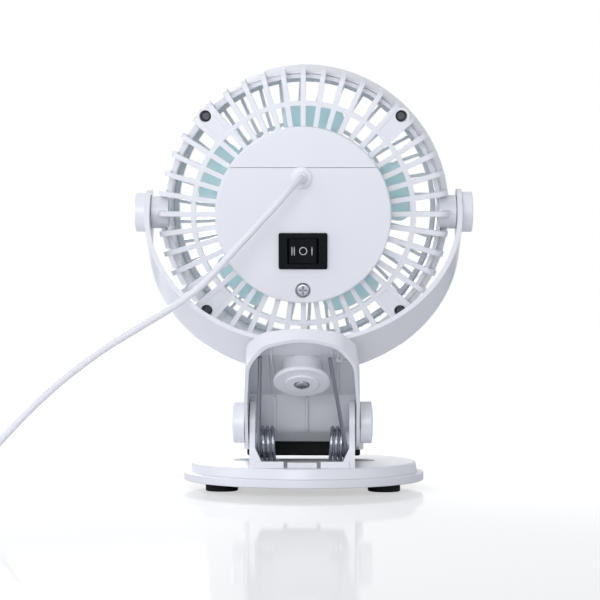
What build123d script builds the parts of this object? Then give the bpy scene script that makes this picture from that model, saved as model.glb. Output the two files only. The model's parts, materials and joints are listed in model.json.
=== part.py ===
from build123d import *
import math
import os

# A clip-on desk fan, in millimetres. The origin is on the desk under the middle of the round base, +Z is up
# and the air leaves along +Y, so the switch and the squeeze handle face -Y. Every sub-part is one node.

os.makedirs("parts", exist_ok=True)

# ---- driving dimensions --------------------------------------------------------------------------
# base
foot_radius = 6.9
foot_height = 4.4
foot_x = 34.5
foot_y = 23.0
cover_flange = 2.8
cover_bottom = 3.4
cover_top = 6.9
cover_plate = 1.8
shell_foot_radius = 49.6
shell_taper = 0.7
base_top = 11.3
shell_wall = 2.0
shell_plate = 2.4
runner_pitch = 15.0
runner_width = 1.2
runner_height = 1.2
runner_length = 70.0
base_screw_x = 20.0
base_screw_y = 37.0
base_post_radius = 3.2
base_pilot_radius = 1.1
base_screw_head_radius = 2.5
wall_top = 13.9
wall_near = -44.5
wall_far = -42.9
notch_half = 7.65
latch_half = 6.1
latch_near = -44.2
latch_far = -42.8
latch_top = 13.5
latch_slot_gap = 0.6
# ears and hinge
hinge_y = -33.0
hinge_z = 29.7
ear_inner = 19.5
ear_outer = 21.9
ear_radius = 9.2
ear_near = -43.9
gusset_inner = 16.8
gusset_low = 13.7
gusset_high = 19.5
hinge_pin_radius = 3.0
hinge_cap_radius = 8.8
hinge_cap_inner = 24.2
hinge_cap_outer = 29.4
# springs
spring_wire = 1.6
spring_mean_radius = 6.6
spring_pitch = 2.05
spring_y = -34.9
spring_z = 21.0
spring_post_radius = 5.0
spring_post_length = 7.3
spring_outer_x = 18.1
spring_lower_angle = -100.0
spring_upper_angle = -152.0
spring_full_turns = 3
spring_lower_leg = 13.0
spring_upper_leg = 44.8
spring_elbow = 3.0
spring_leg_end_x = {-1: 16.7, 1: 11.0}
# clamp lever, in its own axes: u runs from the hinge to the handle's end, n stands square on the handle
lean = 30.0
handle_end = 53.2
handle_top = 14.8
web_under = 13.2
platform_under = 12.4
platform_start = 35.0
end_lip = 11.3
end_wall = 1.2
lever_outer = 23.8
lever_wall = 1.4
lever_hinge_radius = 10.4
thin_rib = 0.9
web_rib_places = (-14.0, -12.0, 14.8)
web_rib_height = 1.0
spine_width = 1.0
spine_x = 1.6
# ribs that run along the handle: x, u where one starts and ends
pocket_ribs = [(-12.4, 30.0, 60.0), (-17.0, 33.0, 42.0), (12.1, 31.0, 60.0), (16.4, 31.0, 42.5)]
# ribs that run across the handle: u, x where one starts and ends
pocket_bars = [
    (42.0, -17.0, -12.4),
    (33.5, -23.0, -17.0),
    (42.5, 12.1, 16.4),
    (34.5, 16.4, 23.0),
    (31.5, 14.0, 23.0),
]
# jaw
jaw_back = -6.8
jaw_front = 10.6
lip_bottom = 14.6
jaw_under = 20.1
jaw_plate = 2.0
jaw_skirt_bottom = 16.5
tray_mouth_half = 21.5
pad_half_width = 24.7
pad_back = -5.0
pad_front = 8.4
pad_bottom = 13.7
lower_pad_half_width = 31.0
lower_pad_top = 11.5
lower_pad_bottom = 9.9
# yoke and its swivel
swivel_u = 27.2
yoke_bottom = 15.1
yoke_drop = 5.2
yoke_gap = 2.4
yoke_thickness = 2.1
yoke_half_bottom = 12.5
yoke_half_top = 10.0
boss_radius = 8.15
boss_length = 7.5
spigot_radius = 5.95
retainer_radius = 11.7
retainer_top = 5.5
retainer_thickness = 1.6
retainer_hub_radius = 6.9
seat_radius = 11.0
# head: lengths along the fan's axis are measured from the tilt pivots, positive to the back
head_tilt = 8.3
hub_radius = 37.25
hub_back = 21.5
hub_plate = 1.8
hub_floor = 5.0
hub_wall = 1.8
seam_height = 20.2
rib_count = 44
rib_width = 2.2
rib_depth = 3.0
rib_back = 14.0
rib_step = 3.1
rib_corner_round = 5.0
pad_angles = [45, 135, 225, 315]
pad_sink = 0.15
pad_hole_radius = 2.5
pad_hole_step = 3.7
screw_sink = 5.0
housing_screw_length = 22.0
screw_sleeve_radius = 2.7
ledge_radius = 33.4
screw_height = -31.8
lead_hole = (0.0, 9.0)
mid_ring_radius = 46.9
mid_ring_width = 2.1
hoop_step = 4.2
hoop_wall = 1.8
hoop_back = 3.8
hoop_front = -7.0
duct_step = 0.9
lip_step = 0.6
duct_wall = 1.1
rim_radius = 63.4
rim_front = -27.0
rim_wall = 1.8
front_lip_step = 2.8
duct_front = -24.6
shoulder_back = -2.0
shoulder_front = -10.0
front_rib_count = 38
front_rib_width = 1.4
front_rib_turn = -3.4
front_hoop_radius = 38.9
front_hoop_width = 1.6
grille_ring_width = 1.8
front_disc_radius = 19.0
front_dish_radius = 90
front_dish_middle = 88.6
pivot_boss_radius = 7.25
pivot_pin_radius = 3.0
knob_radius = 8.7
knob_depth = 4.9
# impeller and motor
blade_count = 5
blade_tip = 46.4
blade_half_angle = 18.5
blade_thickness = 1.4
blade_start_angle = 12.0
blade_corner = 5.0
cup_radius = 17.0
cup_back = 3.5
cup_front = -11.5
blade_back = 3.0
blade_front = -10.0
motor_radius = 12.2
motor_back = 4.9
motor_front = -7.4
motor_screw_x = 8.0
shaft_radius = 1.0
# rocker switch
switch_height = -15.0
bezel_width = 20.6
bezel_height = 15.3
bezel_back = 23.1
rocker_pivot = 21.0
rocker_radius = 6.3
rocker_half_height = 5.2
switch_body_width = 18.6
switch_body_height = 13.0
switch_body_front = 9.6
terminal_half = 2.0
terminal_pitch = 5.6
# board and thin leads in the pot
board_y = 8.0
board_above = 6.5
board_below = 5.5
board_half_width = 17.0
board_front = 9.0
board_thickness = 1.2
board_post_x = 14.0
inner_lead_diameter = 1.2
inner_lead_bend = 1.1
# lead
cord_diameter = 3.0
gland_x = -0.7
gland_height = 15.9
gland_back = 23.75
gland_neck_radius = 3.6
gland_flange_radius = 4.6
gland_flange_thickness = 1.6
gland_run = 8.3
coil_outer_radius = 22.0
coil_pitch = 3.5
coil_lift = 3.45
coil_start = (-156.0, -80.0)
turns_in = 7
turns_out = 6
plug_run = 19.5
plug_width = 15.6
plug_length = 26.0
plug_shell_width = 12.0
plug_shell_height = 4.5
plug_shell_length = 18.5
plug_overlap = 4.0
# clearances
joint_gap = 0.3
run_gap = 0.05
seat_gap = 0.1
# how far a cutting outline reaches to each side, longer than the piece it cuts
cut_reach = 60
yoke_cut_reach = 80
boss_gap = 0.2
lip_gap = 0.2

# ---- sizes that follow ---------------------------------------------------------------------------
cover_radius = shell_foot_radius + cover_flange
shell_top_radius = shell_foot_radius - shell_taper
hoop_outer = rim_radius - hoop_step
hoop_inner = hoop_outer - hoop_wall
duct_radius = hoop_outer - duct_step
lip_radius = duct_radius - lip_step
rib_angle = 360.0 / rib_count
cover_face = hub_back - hub_plate
gland_inner_end = cover_face - gland_flange_thickness
floor_line = cord_diameter / 2
rib_corner_radius = hoop_outer + rib_step
pad_hole_place = rib_corner_radius - pad_hole_step
yoke_inner = rim_radius + yoke_gap
yoke_outer = yoke_inner + yoke_thickness
pivot_n = yoke_bottom + yoke_drop + yoke_outer
pivot_boss_outer = yoke_inner - boss_gap
knob_inner = yoke_outer + seat_gap
knob_outer = knob_inner + knob_depth

# ---- frames --------------------------------------------------------------------------------------
cos_lean = math.cos(math.radians(lean))
sin_lean = math.sin(math.radians(lean))


def lever_point(u, n):
    """World (y, z) of a point given in the clamp lever's axes."""
    return (hinge_y - u * cos_lean + n * sin_lean, hinge_z + u * sin_lean + n * cos_lean)


pivot_y, pivot_z = lever_point(swivel_u, pivot_n)
tilt_cos = math.cos(math.radians(head_tilt))
tilt_sin = math.sin(math.radians(head_tilt))
lever_frame = Plane(origin=(0, hinge_y, hinge_z), x_dir=(1, 0, 0), z_dir=(0, sin_lean, cos_lean))
yoke_frame = Plane(origin=(0, pivot_y, pivot_z), x_dir=(1, 0, 0), z_dir=(0, -cos_lean, sin_lean))
head_frame = Plane(origin=(0, pivot_y, pivot_z), x_dir=(1, 0, 0), z_dir=(0, -tilt_cos, -tilt_sin))


def head_point(x, y, z):
    """World point of one given in the head's axes: x to the right, y up the head, z to its back."""
    return Vector(x, pivot_y - y * tilt_sin - z * tilt_cos, pivot_z + y * tilt_cos - z * tilt_sin)


# ---- helpers -------------------------------------------------------------------------------------
def outline(*corners):
    """A closed face through (x, y) or (x, y, radius) corners, with the given rounds."""
    stretches = []
    for i, corner in enumerate(corners):
        here = Vector(corner[0], corner[1])
        radius = corner[2] if len(corner) > 2 else 0
        before = Vector(*corners[i - 1][:2])
        after = Vector(*corners[(i + 1) % len(corners)][:2])
        back = (before - here).normalized()
        on = (after - here).normalized()
        half = math.radians(back.get_angle(on) / 2)
        reach = radius / math.tan(half)
        bulge = radius / math.sin(half) - radius
        middle = here + (back + on).normalized() * bulge
        stretches.append((here + back * reach, middle, here + on * reach, radius))
    edges = []
    for i, (start, middle, end, radius) in enumerate(stretches):
        if radius:
            edges.append(ThreePointArc(start, middle, end))
        following = stretches[(i + 1) % len(stretches)][0]
        if (following - end).length > 1e-6:
            edges.append(Line(end, following))
    return make_face(edges)


def spun(*corners):
    """A solid of revolution about Z, from corners given as (radius, z) or (radius, z, round)."""
    return revolve(Plane.XZ * outline(*corners), Axis.Z)


def side_slab(half_width, *corners):
    """A slab centred on X = 0, from corners given as world (y, z)."""
    return extrude(Plane.YZ * outline(*corners), amount=half_width, both=True)


def block(x0, x1, y0, y1, z0, z1):
    """A box between two corners."""
    middle = ((x0 + x1) / 2, (y0 + y1) / 2, (z0 + z1) / 2)
    return Pos(*middle) * Box(abs(x1 - x0), abs(y1 - y0), abs(z1 - z0))


def drum(radius, z0, z1, x=0.0, y=0.0):
    """A cylinder along Z."""
    return Pos(x, y, (z0 + z1) / 2) * Cylinder(radius, z1 - z0)


def rod_x(radius, x0, x1, y, z):
    """A cylinder along X."""
    return Pos((x0 + x1) / 2, y, z) * (Rot(0, 90, 0) * Cylinder(radius, abs(x1 - x0)))


def on_head(piece):
    """Carries a piece from the head's axes to where the head is."""
    return head_frame.location * piece


def on_lever(piece):
    """Carries a piece from the lever's axes (x, -u, n) to where the lever is."""
    return lever_frame.location * piece


def joined(first, *others):
    """Pieces fused in one step."""
    return first.fuse(*others)


def save(name, *pieces):
    """Writes one node."""
    solids = [solid for piece in pieces for solid in piece.solids()]
    shape = solids[0] if len(solids) == 1 else Compound(children=solids)
    export_step(shape, f"parts/{name}.step")
    print(name, len(solids), "solids", round(sum(solid.volume for solid in solids), 1), "mm3")


def both_arcs(start, leaving, end, arriving):
    """Two arcs that meet smoothly, from a point and a direction to another point and direction."""
    span = end - start
    together = leaving + arriving
    apart = 2 * (1 - leaving.dot(arriving))
    along = span.dot(together)
    reach = (math.sqrt(along * along + apart * span.dot(span)) - along) / apart
    first = start + leaving * reach
    second = end - arriving * reach
    middle = (first + second) * 0.5
    turn = (second - first).normalized()
    return [Edge.make_tangent_arc(start, leaving, middle), Edge.make_tangent_arc(middle, turn, end)]


def tube(edges, diameter):
    """One round tube along connected edges."""
    path = Wire(edges)
    start = edges[0] @ 0
    section = Plane(origin=start, z_dir=edges[0] % 0) * Circle(diameter / 2)
    return sweep(section, path=path)


def least_gap(edges, diameter, apart):
    """The least clear distance of a tube to itself, on points at least `apart` from each other along it."""
    spots = []
    travelled = 0.0
    for edge in edges:
        count = max(2, round(edge.length / 0.8))
        for i in range(count):
            spots.append((travelled + edge.length * i / count, tuple(edge @ (i / count))))
        travelled += edge.length
    best = 1e9
    for i, (place, point) in enumerate(spots):
        for later, other in spots[i + 1 :]:
            if later - place >= apart:
                best = min(best, math.dist(point, other))
    return best - diameter


# ---- base ----------------------------------------------------------------------------------------
foot_places = [(side * foot_x, end * foot_y) for side in (-1, 1) for end in (-1, 1)]
base_screw_places = [(side * base_screw_x, end * base_screw_y) for side in (-1, 1) for end in (-1, 1)]


def ear(side):
    """One of the two plates that carry the hinge, with the round post that its spring sits on."""
    plate = Plane.YZ * (
        outline(
            (ear_near, base_top - 1.5),
            (ear_near, 19.0, 4),
            (hinge_y - ear_radius, hinge_z - 4),
            (hinge_y - ear_radius, hinge_z),
            (hinge_y + 7.9, hinge_z + 4.6),
            (-19.5, base_top - 1.5),
        )
        + Pos(hinge_y, hinge_z) * Circle(ear_radius)
    )
    solid = extrude(plate, amount=ear_outer - ear_inner)
    solid = Pos(ear_inner, 0, 0) * solid
    gusset = extrude(
        Plane.XZ
        * outline(
            (gusset_inner, base_top - 1),
            (gusset_inner, gusset_low),
            (ear_inner, gusset_high),
            (ear_inner + 1, base_top - 1),
        ),
        amount=1.0,
    )
    gusset = Pos(0, ear_near + 1.0, 0) * gusset
    post = rod_x(spring_post_radius, ear_inner - spring_post_length, ear_inner + 0.5, spring_y, spring_z)
    solid = joined(solid, gusset, post)
    solid = solid - rod_x(hinge_pin_radius, ear_inner - 1, ear_outer + 1, hinge_y, hinge_z)
    return solid if side > 0 else mirror(solid, about=Plane.YZ)


def base_shell():
    body = spun(
        (0, base_top),
        (shell_top_radius, base_top, 0.8),
        (shell_foot_radius, cover_top),
        (shell_foot_radius - shell_wall, cover_top),
        (shell_top_radius - shell_wall, base_top - shell_plate, 1.0),
        (0, base_top - shell_plate),
    )
    walls = []
    for side in (-1, 1):
        walls.append(block(side * notch_half, side * ear_inner, wall_near, wall_far, base_top - 1, wall_top))
    posts = [drum(base_post_radius, cover_top - 1.5, base_top - 1, x, y) for x, y in base_screw_places]
    tongue = drum(shell_foot_radius - shell_wall, cover_top - 1.0, cover_top + 0.5)
    tongue = tongue - drum(shell_foot_radius - 2 * shell_wall, cover_top - 2.0, base_top)
    body = joined(body, tongue, *walls, *posts, ear(-1), ear(1))
    half_depth = (pad_front - pad_back) / 2
    pocket = pad_slot(lower_pad_half_width + seat_gap, half_depth + seat_gap, lower_pad_bottom, base_top + 1)
    slot = block(
        -latch_half - latch_slot_gap,
        latch_half + latch_slot_gap,
        latch_near - latch_slot_gap,
        latch_far + latch_slot_gap,
        cover_top,
        wall_top + 1,
    )
    pilots = [drum(base_pilot_radius, 0, base_top - 3.2, x, y) for x, y in base_screw_places]
    return body.cut(pocket, slot, *pilots)


def pad_slot(half_length, half_depth, z0, z1):
    """The stadium-shaped grip strip's outline as a solid."""
    middle_y = (pad_back + pad_front) / 2
    shape = Pos(0, middle_y) * SlotOverall(2 * half_length, 2 * half_depth)
    return Pos(0, 0, z0) * extrude(shape, amount=z1 - z0)


def base_cover():
    body = spun(
        (0, cover_bottom),
        (cover_radius, cover_bottom, 0.4),
        (cover_radius, cover_top, 0.3),
        (shell_foot_radius - shell_wall + seat_gap, cover_top),
        (shell_foot_radius - shell_wall + seat_gap, cover_bottom + cover_plate),
        (0, cover_bottom + cover_plate),
    )
    runners = [
        block(x - runner_width / 2, x + runner_width / 2, -runner_length / 2, runner_length / 2,
              cover_bottom - runner_height, cover_bottom + 0.5)
        for x in (-runner_pitch, 0, runner_pitch)
    ]
    cups = [drum(foot_radius + 1.6, cover_bottom, cover_bottom + 2.4, x, y) for x, y in foot_places]
    latch = block(-latch_half, latch_half, latch_near, latch_far, cover_bottom + 1, latch_top)
    body = joined(body, latch, *runners, *cups)
    pockets = [drum(foot_radius + seat_gap, 0, foot_height, x, y) for x, y in foot_places]
    sinks = [drum(base_screw_head_radius + 0.2, 0, cover_bottom + 0.9, x, y) for x, y in base_screw_places]
    holes = [drum(base_pilot_radius + 0.2, 0, cover_top, x, y) for x, y in base_screw_places]
    return body.cut(*pockets, *sinks, *holes)


def foot_pads():
    pad = spun((0, 0), (foot_radius, 0, 0.6), (foot_radius, foot_height), (0, foot_height))
    return [Pos(x, y, 0) * pad for x, y in foot_places]


def base_screws():
    head = spun(
        (0, cover_bottom - 0.6),
        (base_screw_head_radius, cover_bottom - 0.6, 0.4),
        (base_screw_head_radius, cover_bottom + 0.9),
        (0, cover_bottom + 0.9),
    )
    shank = drum(base_pilot_radius - run_gap, cover_bottom, base_top - 4.0)
    cross = joined(Box(3.0, 0.6, 1.4), Box(0.6, 3.0, 1.4))
    screw = joined(head, shank) - Pos(0, 0, cover_bottom - 0.6) * cross
    return [Pos(x, y, 0) * screw for x, y in base_screw_places]


def lower_grip_pad():
    body = pad_slot(lower_pad_half_width, (pad_front - pad_back) / 2, lower_pad_bottom, lower_pad_top)
    bottom = lower_pad_top - 0.4
    top = lower_pad_top + 1
    grooves = [block(-28, 28, y - 0.4, y + 0.4, bottom, top) for y in (-1.9, 0.4, 2.7, 5.0)]
    return body.cut(*grooves)


def hinge_pin(side):
    cap_mid = hinge_cap_outer - 0.5
    profile = outline(
        (0, ear_inner),
        (hinge_pin_radius, ear_inner),
        (hinge_pin_radius, hinge_cap_inner),
        (hinge_cap_radius, hinge_cap_inner),
        (hinge_cap_radius, cap_mid, 0.4),
        (5.5, hinge_cap_outer, 6.0),
        (0, hinge_cap_outer),
    )
    pin = revolve(Plane.XZ * profile, Axis.Z)
    pin = Pos(0, hinge_y, hinge_z) * (Rot(0, side * 90, 0) * pin)
    return pin


def spring_path(side):
    """The torsion spring's centre line: lower leg, turns from the inner end outwards, upper leg."""
    lower = math.radians(spring_lower_angle)
    sweep_angle = 2 * math.pi * spring_full_turns + math.radians(spring_lower_angle - spring_upper_angle)
    rise = spring_pitch / (2 * math.pi)
    inner_x = spring_outer_x - rise * sweep_angle

    def place(turned):
        angle = lower - turned
        y = spring_y + spring_mean_radius * math.cos(angle)
        z = spring_z + spring_mean_radius * math.sin(angle)
        return Vector(side * (inner_x + rise * turned), y, z)

    def heading(turned):
        angle = lower - turned
        across = spring_mean_radius * math.sin(angle)
        along = -spring_mean_radius * math.cos(angle)
        return Vector(side * rise, across, along).normalized()

    start = place(0)
    edges = [Edge.make_line(start - heading(0) * spring_lower_leg, start)]
    quarters = math.ceil(sweep_angle / (math.pi / 2))
    for i in range(quarters):
        a = sweep_angle * i / quarters
        b = sweep_angle * (i + 1) / quarters
        edges += both_arcs(place(a), heading(a), place(b), heading(b))
    finish = place(sweep_angle)
    leaving = heading(sweep_angle)
    flat = Vector(0, leaving.Y, leaving.Z).normalized()
    drift = side * (spring_leg_end_x[side] - abs(finish.X)) / spring_upper_leg
    leg = (flat + Vector(drift, 0, 0)).normalized()
    elbow = finish + (leaving + leg).normalized() * spring_elbow
    turns_end = len(edges)
    edges += both_arcs(finish, leaving, elbow, leg)
    edges.append(Edge.make_line(elbow, elbow + leg * (spring_upper_leg - spring_elbow)))
    return edges, edges[1:turns_end]


def spring(side):
    edges, turns = spring_path(side)
    print("spring least gap", round(least_gap(turns, spring_wire, 2 * spring_mean_radius), 3))
    return tube(edges, spring_wire)


# ---- clamp lever ---------------------------------------------------------------------------------


def lever_plan(inset):
    """The handle's tongue shape seen square on, in the lever frame's (x, -u), drawn in by inset."""
    half = lever_outer - inset
    end = handle_end - inset
    return outline(
        (-half, 60),
        (-half, -20, 30),
        (-(half - 1.4), -40, 12),
        (-(half - 8.2), -(end - 3.4), 9),
        (0, -(end + 0.3), 30),
        (half - 8.2, -(end - 3.4), 9),
        (half - 1.4, -40, 12),
        (half, -20, 30),
        (half, 60),
    )


def upright(x, u0, u1, low):
    """A thin rib that runs along the handle and reaches down from its underside."""
    return on_lever(block(x - thin_rib / 2, x + thin_rib / 2, -u1, -u0, low, web_under + 0.3))


def crossing(u, x0, x1):
    """A thin rib that runs across the handle."""
    return on_lever(block(x0, x1, -u - thin_rib / 2, -u + thin_rib / 2, end_lip + 0.1, web_under + 0.3))


def clamp_arm():
    top_end = lever_point(handle_end + 3, handle_top)
    crease = lever_point(0, handle_top)
    low_end = lever_point(handle_end + 3, end_lip - 0.1)
    tangent_u = math.degrees(math.atan2(end_lip, 50.0)) + math.degrees(
        math.asin(lever_hinge_radius / math.hypot(50.0, end_lip))
    )
    low_angle = math.radians(tangent_u)
    touch_u = lever_hinge_radius * math.sin(low_angle)
    low_touch = lever_point(touch_u, -lever_hinge_radius * math.cos(low_angle))
    outer = Plane.YZ * (
        outline(
            low_end,
            top_end,
            (*crease, 9.0),
            (-17.4, 26.6, 9.0),
            (-9.0, jaw_under + jaw_plate + 0.3, 3),
            (jaw_front - 2, jaw_under + jaw_plate - 0.6),
            (jaw_front - 2, jaw_skirt_bottom + 1),
            (pad_back - 0.2, jaw_skirt_bottom + 1, 0),
            (pad_back - 0.2, jaw_skirt_bottom),
            (hinge_y + 3.0, hinge_z - lever_hinge_radius + 0.45),
            (hinge_y, hinge_z),
            low_touch,
        )
        + Pos(hinge_y, hinge_z) * Circle(lever_hinge_radius)
    )
    body = extrude(outer, amount=lever_outer, both=True)
    plan = lever_frame * lever_plan(0)
    body = body & extrude(plan, amount=cut_reach, both=True)
    # the hollow under the web
    under_end = handle_end - end_wall
    hollow = Plane.YZ * outline(
        lever_point(under_end + 8, -20),
        lever_point(under_end + 8, platform_under),
        (*lever_point(platform_start, platform_under),),
        lever_point(platform_start, web_under),
        (*lever_point(0.5, web_under - 0.3), 1.2),
        (-19.2, 25.4, 7.0),
        (-9.0, jaw_under, 2.0),
        (jaw_front + 5, jaw_under),
        (jaw_front + 5, -5),
    )
    hollow = extrude(hollow, amount=lever_outer - lever_wall, both=True)
    hollow = hollow & extrude(lever_frame * lever_plan(lever_wall), amount=cut_reach, both=True)
    body = body - hollow
    # ribs and pockets under the end of the handle, and thin ones down its web
    tips = extrude(lever_frame * lever_plan(lever_wall / 2), amount=cut_reach, both=True)
    ribs = [upright(x, u0, u1, end_lip + 0.1) & tips for x, u0, u1 in pocket_ribs]
    ribs += [crossing(u, x0, x1) & tips for u, x0, x1 in pocket_bars]
    ribs += [upright(x, 1.0, platform_start, web_under - web_rib_height) for x in web_rib_places]
    spine = side_slab(
        spine_width / 2,
        lever_point(-0.5, web_under + 0.5),
        lever_point(1.0, web_under - 1.8),
        (-21.6, 26.0, 3),
        (-17.5, 23.6),
        (-17.0, 25.5),
        (-24.0, 40.0),
    )
    stay = Pos(web_rib_places[1], 0, 0) * spine
    spine = Pos(spine_x, 0, 0) * spine
    boss = on_lever(drum(boss_radius, web_under - boss_length, web_under + 0.6, 0, -swivel_u))
    # the tray that holds the rubber
    tray_half = pad_half_width + 1.4
    tray = block(-tray_half, tray_half, jaw_back, jaw_front, jaw_skirt_bottom, jaw_under + jaw_plate)
    tray = fillet(tray.edges().filter_by(Axis.Z), 2.0)
    tray = fillet(tray.faces().sort_by(Axis.Z)[-1].edges(), 0.8)
    mouth = block(-tray_mouth_half, tray_mouth_half, pad_back - 3, pad_front, 0, jaw_under)
    lip_top = jaw_skirt_bottom + 0.5
    lip = block(-tray_mouth_half, tray_mouth_half, pad_front + 0.3, jaw_front - 0.4, lip_bottom, lip_top)
    tray = joined(tray - mouth, lip)
    body = joined(body, boss, spine, stay, tray, *ribs)
    seat = block(-pad_half_width - 0.1, pad_half_width + 0.1, pad_back - 0.1, pad_front + 0.1, 0, jaw_under)
    bore = on_lever(drum(spigot_radius + run_gap, -5, handle_top + 5, 0, -swivel_u))
    pin_hole = rod_x(hinge_pin_radius + run_gap, -40, 40, hinge_y, hinge_z)
    pegs = [drum(2.0 + run_gap, jaw_under - 1, jaw_under + 1.2, x, 1.7) for x in (-18, 0, 18)]
    return body.cut(bore, pin_hole, seat, *pegs)


def jaw_pad():
    body = block(-pad_half_width, pad_half_width, pad_back, pad_front, pad_bottom, jaw_under)
    body = fillet(body.edges().filter_by(Axis.Z), 1.2)
    body = chamfer(body.faces().sort_by(Axis.Z)[0].edges(), 0.6)
    pegs = [drum(2.0, jaw_under - 1, jaw_under + 1.0, x, 1.7) for x in (-18, 0, 18)]
    body = joined(body, *pegs)
    groove_top = pad_bottom + 0.8
    grooves = [block(-30, 30, y - 0.5, y + 0.5, pad_bottom - 1, groove_top) for y in (-2.0, 0.5, 3.0, 5.5)]
    return body.cut(*grooves)


# ---- yoke and swivel -----------------------------------------------------------------------------


def yoke():
    band = (
        Pos(0, -yoke_drop / 2 + 6) * Rectangle(2 * yoke_outer, yoke_drop + 12)
        + Pos(0, -yoke_drop) * Circle(yoke_outer)
        - Pos(0, -yoke_drop / 2 + 10) * Rectangle(2 * yoke_inner, yoke_drop + 20)
        - Pos(0, -yoke_drop) * Circle(yoke_inner)
    )
    keep = Pos(0, -yoke_drop / 2 - 30) * Rectangle(3 * yoke_outer, yoke_drop + 140)
    band = extrude(band & keep, amount=30, both=True)
    bottom = yoke_bottom - pivot_n
    silhouette = Plane.YZ * (
        outline(
            (bottom - 2, -yoke_half_bottom),
            (bottom - 2, yoke_half_bottom),
            (0, yoke_half_top),
            (0, -yoke_half_top),
        )
        + Circle(yoke_half_top)
    )
    band = band & extrude(silhouette, amount=yoke_cut_reach, both=True)
    seat = Rot(90, 0, 0) * Cylinder(seat_radius, 1.6)
    seat = Pos(0, bottom + 0.8, 0) * seat
    spigot = Rot(90, 0, 0) * Cylinder(spigot_radius, yoke_bottom - retainer_top + 1)
    spigot = Pos(0, bottom + 1 - (yoke_bottom - retainer_top + 1) / 2, 0) * spigot
    body = joined(band, seat, spigot)
    pivots = rod_x(pivot_pin_radius + run_gap, -90, 90, 0, 0)
    pilot = Rot(90, 0, 0) * Cylinder(1.25, 9)
    pilot = Pos(0, retainer_top - pivot_n + 3.4, 0) * pilot
    return yoke_frame.location * body.cut(pivots, pilot)


def swivel_retainer():
    n1 = retainer_top
    n0 = n1 - retainer_thickness
    body = spun(
        (0, n0 - 0.9),
        (retainer_hub_radius, n0 - 0.9, 0.4),
        (retainer_hub_radius, n0),
        (retainer_radius, n0, 0.6),
        (retainer_radius, n1),
        (0, n1),
    )
    sink = drum(3.2, n0 - 2, n0 - 0.2)
    hole = drum(1.5, n0 - 2, n1 + 1)
    return on_lever(Pos(0, -swivel_u, 0) * body.cut(sink, hole))


def pan_screw(head_radius, head_height, shank_radius, shank_length):
    """A cross-head screw along Z: head below z = 0, shank above."""
    head = spun((0, -head_height), (head_radius, -head_height, 0.8 * head_height), (head_radius, 0), (0, 0))
    shank = drum(shank_radius, -0.2, shank_length)
    width = 0.24 * head_radius
    cross = joined(Box(1.25 * head_radius, width, 1.0), Box(width, 1.25 * head_radius, 1.0))
    return joined(head, shank) - Pos(0, 0, -head_height) * cross


def swivel_screw():
    screw = pan_screw(2.95, 1.5, 1.25 - run_gap, 6.5)
    seat = retainer_top - retainer_thickness - 0.2
    return on_lever(Pos(0, -swivel_u, seat) * screw)


# ---- head: rear grille and hub -------------------------------------------------------------------


def grille_rib():
    """One spoke: out from the hub, round the corner and forward to the hoop."""
    inner_round = rib_corner_round - rib_depth
    profile = outline(
        (hub_radius - 0.8, rib_back),
        (rib_corner_radius, rib_back, rib_corner_round),
        (rib_corner_radius, shoulder_back + 0.2),
        (hoop_outer - 0.8, shoulder_back + 0.2),
        (rib_corner_radius - rib_depth, hoop_back),
        (rib_corner_radius - rib_depth, rib_back - rib_depth, inner_round),
        (hub_radius - 0.8, rib_back - rib_depth),
    )
    return extrude(Plane.XZ * profile, amount=rib_width / 2, both=True)


def sector(angle, half_angle, inner, outer):
    """A face between two radii, centred on an angle in degrees."""
    far = outer / math.cos(math.radians(half_angle))
    points = [(0, 0)]
    for turn in (angle - half_angle, angle + half_angle):
        points.append((1.2 * far * math.cos(math.radians(turn)), 1.2 * far * math.sin(math.radians(turn))))
    wedge = make_face(Polyline(*points, close=True))
    return (wedge & Circle(outer)) - Circle(inner)


def screw_places():
    for angle in pad_angles:
        turn = math.radians(angle)
        yield (pad_hole_place * math.cos(turn), pad_hole_place * math.sin(turn))


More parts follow.
